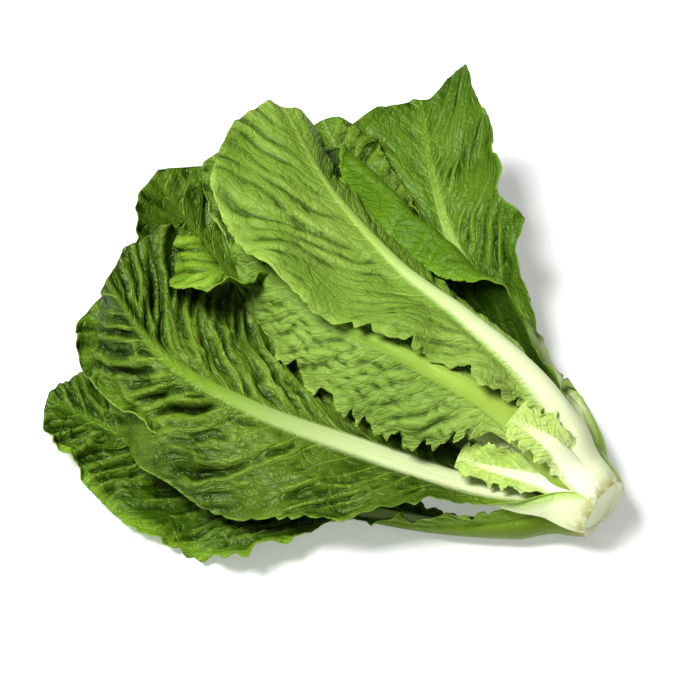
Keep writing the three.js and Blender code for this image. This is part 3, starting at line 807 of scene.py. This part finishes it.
def leaf_paint(name, inner, outer, foot, rib_foot, rib_tip, rib_behind, vein, gloss, pale_to, rim=0.9):
    """A leaf's paint: its two faces, the pale foot and rib, side veins and the net between them, with
    painted shade in the hollows and along the net and painted light on the crests.
    """
    p = Paint(name)
    s, _, u, place = p.read("place")
    strip, _, relief_shade_mask, veins = p.read("veins")
    reach, beside, behind, _ = p.read("edge")
    coords = p.tree.nodes.new("ShaderNodeTexCoord").outputs["Object"]
    cloud = p.noise(coords, 15.0)
    mottle = p.noise(coords, 130.0, 4.0, 0.6)
    blade = p.mix(behind, inner, outer)
    blade = p.mix(p.step(cloud, 0.38, 0.66, 0.0, 0.45), blade, p.mix(0.45, blade, foot))
    # Painted shade and painted light from the relief: the hollows are darkened and the crests lightened
    # towards the foot's colour, as light would fall on them.
    face_relief_shade_mask = p.node("Mix", {0: behind, 2: relief_shade_mask, 3: p.math("SUBTRACT", 1.0, relief_shade_mask)})
    painted_hollow_shade = p.mix(1.0, blade, shade(110, 128, 80), "MULTIPLY")
    blade = p.mix(p.step(face_relief_shade_mask, 0.1, 0.5, 0.85, 0.0), blade, painted_hollow_shade)
    blade = p.mix(p.step(face_relief_shade_mask, 0.55, 1.0, 0.0, 0.3), blade, p.mix(0.6, blade, foot))
    blade = p.mix(p.step(mottle, 0.4, 0.7, 0.0, 0.12), blade, outer)
    off_line = p.math("ABSOLUTE", p.math("SUBTRACT", p.math("FRACT", p.math("ADD", strip, 0.5)), 0.5))
    thickness = p.step(reach, 0.0, 1.0, 0.065, 0.015)
    line = p.step(p.math("DIVIDE", off_line, thickness), 0.35, 1.0, 1.0, 0.0)
    net = p.cells(p.node("VectorMath", {0: veins, 1: (1.9, 1.2, 0.0)}, operation="MULTIPLY"), 1.0)
    net_line = p.step(net, 0.0, 0.06, 1.0, 0.0)
    near_rib = p.step(beside, 1.0, 5.0, 1.0, 0.3)
    # Painted shade along the net's lines, as in the creases between the blisters.
    painted_net_shade = p.mix(1.0, blade, shade(150, 160, 120), "MULTIPLY")
    blade = p.mix(p.math("MULTIPLY", net_line, 0.14), blade, painted_net_shade)
    blade = p.mix(p.math("MULTIPLY", line, p.math("MULTIPLY", near_rib, 0.55)), blade, vein)
    blade = p.mix(p.step(u, 0.02, pale_to, 0.85, 0.0), blade, foot)
    uneven_reach = p.math("ADD", reach, p.math("MULTIPLY", cloud, 0.2))
    blade = p.mix(p.step(uneven_reach, rim, rim + 0.2, 0.0, 0.6), blade, vein)
    blade = p.mix(p.step(reach, 0.965, 1.0, 0.0, 0.4), blade, foot)
    streak = p.noise(p.node("VectorMath", {0: place, 1: (0.5, 9.0, 0.0)}, operation="MULTIPLY"), 1.0)
    rib = p.mix(p.step(u, 0.1, 0.75), p.mix(behind, rib_foot, rib_behind), rib_tip)
    rib = p.mix(p.step(streak, 0.4, 0.75, 0.0, 0.35), rib, p.mix(0.5, rib, foot))
    on_rib = p.math("MULTIPLY", p.step(beside, 0.6, 1.15, 1.0, 0.0), p.step(u, 0.55, 0.95, 1.0, 0.25))
    color = p.mix(on_rib, blade, rib)
    stain = p.math("MULTIPLY", p.step(s, 0.05, 0.6, 0.9, 0.0), p.step(mottle, 0.42, 0.6))
    color = p.mix(stain, color, shade(158, 146, 70))
    color = p.mix(p.step(s, 0.0, 0.06, 1.0, 0.0), color, shade(214, 220, 180))
    p.feed(p.shader.inputs["Base Color"], color)
    rough = p.step(mottle, 0.3, 0.75, gloss, gloss + 0.15)
    p.feed(p.shader.inputs["Roughness"], p.math("ADD", rough, p.math("MULTIPLY", behind, 0.1)))
    grain = p.noise(coords, 420.0, 2.0, 0.6)
    height = p.math("ADD", p.math("MULTIPLY", grain, 1.3), p.math("MULTIPLY", p.step(net, 0.0, 0.16), 0.5))
    height = p.math("SUBTRACT", height, p.math("MULTIPLY", line, 0.4))
    on_blade = p.math("MULTIPLY", height, p.math("SUBTRACT", 1.0, on_rib))
    height = p.math("ADD", on_blade, p.math("MULTIPLY", p.math("MULTIPLY", streak, on_rib), 0.5))
    bump = p.node("Bump", {"Height": height, "Strength": 0.6, "Distance": 0.0012})
    p.feed(p.shader.inputs["Normal"], bump)
    p.shader.inputs["Specular IOR Level"].default_value = 0.26
    p.shader.inputs["Specular Tint"].default_value = (0.75, 1.0, 0.35, 1.0)
    p.shader.inputs["Coat Weight"].default_value = 0.02
    p.shader.inputs["Coat Roughness"].default_value = 0.16
    p.shader.inputs["Subsurface Weight"].default_value = 0.08
    p.shader.inputs["Subsurface Radius"].default_value = (0.5, 1.0, 0.15)
    p.shader.inputs["Subsurface Scale"].default_value = 0.0012
    return p.material


PAINTS = {
    "dark": leaf_paint(
        "dark_leaf",
        inner=shade(54, 84, 6),
        outer=shade(96, 130, 26),
        foot=shade(150, 186, 60),
        rib_foot=shade(234, 241, 196),
        rib_tip=shade(112, 148, 34),
        rib_behind=shade(112, 140, 30),
        vein=shade(120, 158, 46),
        gloss=0.3,
        pale_to=0.2,
        rim=1.0,
    ),
    "under": leaf_paint(
        "under_leaf",
        inner=shade(44, 72, 6),
        outer=shade(92, 124, 24),
        foot=shade(122, 156, 46),
        rib_foot=shade(234, 241, 196),
        rib_tip=shade(100, 136, 34),
        rib_behind=shade(86, 110, 20),
        vein=shade(118, 158, 36),
        gloss=0.3,
        pale_to=0.2,
        rim=0.84,
    ),
    "back": leaf_paint(
        "back_leaf",
        inner=shade(55, 90, 8),
        outer=shade(96, 130, 26),
        foot=shade(140, 178, 56),
        rib_foot=shade(226, 236, 180),
        rib_tip=shade(120, 156, 44),
        rib_behind=shade(150, 180, 80),
        vein=shade(128, 168, 54),
        gloss=0.3,
        pale_to=0.55,
        rim=1.0,
    ),
    "front": leaf_paint(
        "front_leaf",
        inner=shade(39, 64, 4),
        outer=shade(96, 130, 26),
        foot=shade(150, 186, 60),
        rib_foot=shade(226, 236, 184),
        rib_tip=shade(112, 148, 34),
        rib_behind=shade(228, 237, 188),
        vein=shade(120, 158, 46),
        gloss=0.3,
        pale_to=0.2,
        rim=1.0,
    ),
    "light": leaf_paint(
        "light_leaf",
        inner=shade(66, 104, 16),
        outer=shade(100, 132, 40),
        foot=shade(164, 190, 92),
        rib_foot=shade(224, 233, 186),
        rib_tip=shade(158, 188, 84),
        rib_behind=shade(226, 235, 190),
        vein=shade(150, 182, 76),
        gloss=0.34,
        pale_to=0.5,
    ),
    "pale": leaf_paint(
        "pale_leaf",
        inner=shade(84, 124, 24),
        outer=shade(105, 136, 49),
        foot=shade(166, 194, 92),
        # The rib is darkened to olive: painted shadow of leaf_top, which lies over this leaf's rib.
        rib_foot=shade(150, 176, 70),
        rib_tip=shade(100, 138, 36),
        rib_behind=shade(150, 176, 70),
        vein=shade(156, 184, 86),
        gloss=0.34,
        pale_to=0.4,
    ),
    "bright": leaf_paint(
        "bright_leaf",
        inner=shade(34, 60, 8),
        outer=shade(70, 106, 8),
        foot=shade(126, 164, 40),
        rib_foot=shade(222, 234, 170),
        rib_tip=shade(140, 180, 60),
        rib_behind=shade(170, 200, 90),
        vein=shade(112, 156, 36),
        gloss=0.32,
        pale_to=0.3,
    ),
    "heart": leaf_paint(
        "heart_leaf",
        inner=shade(70, 108, 20),
        outer=shade(92, 130, 36),
        foot=shade(170, 194, 94),
        rib_foot=shade(236, 241, 200),
        rib_tip=shade(160, 190, 84),
        rib_behind=shade(220, 230, 170),
        vein=shade(160, 188, 88),
        gloss=0.4,
        pale_to=0.35,
    ),
    "white": leaf_paint(
        "small_leaf",
        inner=shade(160, 190, 78),
        outer=shade(172, 198, 100),
        foot=shade(222, 232, 172),
        rib_foot=shade(240, 244, 214),
        rib_tip=shade(222, 232, 172),
        rib_behind=shade(240, 244, 214),
        vein=shade(224, 233, 176),
        gloss=0.36,
        pale_to=0.6,
    ),
}


# Stem


def stem_mesh():
    """The short cut stump: a closed turned shape, uneven round its side."""
    cut_radius = STEM_RADIUS * STUMP_PROFILE[0][0]
    bm = bmesh.new()
    bmesh.ops.create_circle(bm, cap_ends=True, segments=STUMP_SIDES, radius=cut_radius)
    for width in CUT_RINGS:
        cut = max(bm.faces, key=lambda f: f.calc_area())
        bmesh.ops.inset_individual(bm, faces=[cut], thickness=STEM_RADIUS * width)
    rim = [e for e in bm.edges if e.is_boundary]
    for (radius, along), (last, _) in zip(STUMP_PROFILE[1:], STUMP_PROFILE):
        made = bmesh.ops.extrude_edge_only(bm, edges=rim)
        verts = [g for g in made["geom"] if isinstance(g, bmesh.types.BMVert)]
        rim = [g for g in made["geom"] if isinstance(g, bmesh.types.BMEdge)]
        for vert in verts:
            vert.co.x *= radius / last
            vert.co.y *= radius / last
            vert.co.z = along
    bmesh.ops.contextual_create(bm, geom=rim)
    for vert in bm.verts:
        angle = math.atan2(vert.co.y, vert.co.x)
        lump = 1 + 0.02 * math.sin(3 * angle + 0.6) + 0.015 * math.sin(7 * angle + 1)
        vert.co.x *= lump
        vert.co.y *= lump
    bmesh.ops.transform(bm, matrix=Matrix.Rotation(math.pi / 2, 4, "Y"), verts=bm.verts[:])
    bmesh.ops.recalc_face_normals(bm, faces=bm.faces[:])
    mesh = bpy.data.meshes.new("stem_stump")
    for vert in bm.verts:
        vert.co.x = (vert.co.x - ORIGIN[0]) * MM
        vert.co.y = (vert.co.y - ORIGIN[1]) * MM
        vert.co.z = (vert.co.z + STEM_HEIGHT) * MM
    bm.to_mesh(mesh)
    bm.free()
    return mesh


def stem_paint():
    p = Paint("cut_stem")
    coords = p.tree.nodes.new("ShaderNodeTexCoord").outputs["Object"]
    cloud = p.noise(coords, 90.0, 4.0, 0.6)
    color = p.mix(cloud, shade(224, 230, 192), shade(200, 210, 160))
    p.feed(p.shader.inputs["Base Color"], color)
    p.feed(p.shader.inputs["Roughness"], p.step(cloud, 0.3, 0.7, 0.4, 0.6))
    bump = p.node("Bump", {"Height": cloud, "Strength": 0.4, "Distance": 0.001})
    p.feed(p.shader.inputs["Normal"], bump)
    return p.material


leaves = [Leaf(spec, 100 * n) for n, spec in enumerate(LEAVES)]
settle(leaves)
for leaf in leaves:
    place_piece(leaf_sheet(leaf), leaf.name + "_fine", leaf.name, PAINTS[leaf.paint])
place_piece(stem_mesh(), "stem_fine", "stem", stem_paint())


# Floor, light and camera


FLOOR_HALF_SIZE = 4  # in metres


def floor():
    """A pale floor that glows a little, so that shadows on it stay light."""
    bm = bmesh.new()
    bmesh.ops.create_grid(bm, x_segments=1, y_segments=1, size=FLOOR_HALF_SIZE)
    mesh = bpy.data.meshes.new("floor")
    bm.to_mesh(mesh)
    bm.free()
    p = Paint("floor")
    p.shader.inputs["Base Color"].default_value = (0.9, 0.9, 0.9, 1)
    p.shader.inputs["Roughness"].default_value = 0.9
    p.shader.inputs["Emission Color"].default_value = (1, 1, 1, 1)
    p.shader.inputs["Emission Strength"].default_value = 0.3
    mesh.materials.append(p.material)
    made = bpy.data.objects.new("floor", mesh)
    bpy.context.scene.collection.objects.link(made)


VIEW_AZIMUTH = math.radians(222)
VIEW_ELEVATION = math.radians(50)
VIEW_DISTANCE = 1030
VIEW_TARGET = np.array([153.0, 21.0, 45.0])
BACK = np.array(
    [
        math.sin(VIEW_AZIMUTH) * math.cos(VIEW_ELEVATION),
        -math.cos(VIEW_AZIMUTH) * math.cos(VIEW_ELEVATION),
        math.sin(VIEW_ELEVATION),
    ]
)
RIGHT = np.array([math.cos(VIEW_AZIMUTH), math.sin(VIEW_AZIMUTH), 0.0])
UP = np.cross(BACK, RIGHT)


def facing(back, up, place):
    """The matrix of something that looks along -back from a place, with up upwards."""
    back = unit(back)
    right = unit(np.cross(up, back))
    turned = np.eye(4)
    turned[:3, 0] = right
    turned[:3, 1] = np.cross(back, right)
    turned[:3, 2] = back
    turned[:3, 3] = place
    return Matrix(turned.tolist())


def camera():
    data = bpy.data.cameras.new("camera")
    data.lens = 100
    data.sensor_width = 36
    made = bpy.data.objects.new("camera", data)
    made.matrix_world = facing(BACK, UP, (VIEW_TARGET + BACK * VIEW_DISTANCE - ORIGIN) * MM)
    bpy.context.scene.collection.objects.link(made)
    bpy.context.scene.camera = made


def lamp(name, direction, distance, size, power):
    """A square lamp that faces the origin, with distance and size in metres and power in watts."""
    data = bpy.data.lights.new(name, "AREA")
    data.size = size
    data.energy = power
    made = bpy.data.objects.new(name, data)
    direction = unit(np.array(direction, float))
    made.matrix_world = facing(direction, np.array([0.0, 0.0, 1.0]), direction * distance)
    bpy.context.scene.collection.objects.link(made)


floor()
camera()
lamp("key", 0.5 * UP - 0.42 * RIGHT + 0.75 * BACK, distance=1.3, size=0.5, power=27)
lamp("fill", 0.3 * RIGHT + BACK, distance=1.6, size=1.4, power=3)
world = bpy.data.worlds.new("room")
world.use_nodes = True
world.node_tree.nodes["Background"].inputs["Color"].default_value = (1, 1, 1, 1)
world.node_tree.nodes["Background"].inputs["Strength"].default_value = 0.12
bpy.context.scene.world = world
bpy.context.scene.view_settings.view_transform = "Standard"
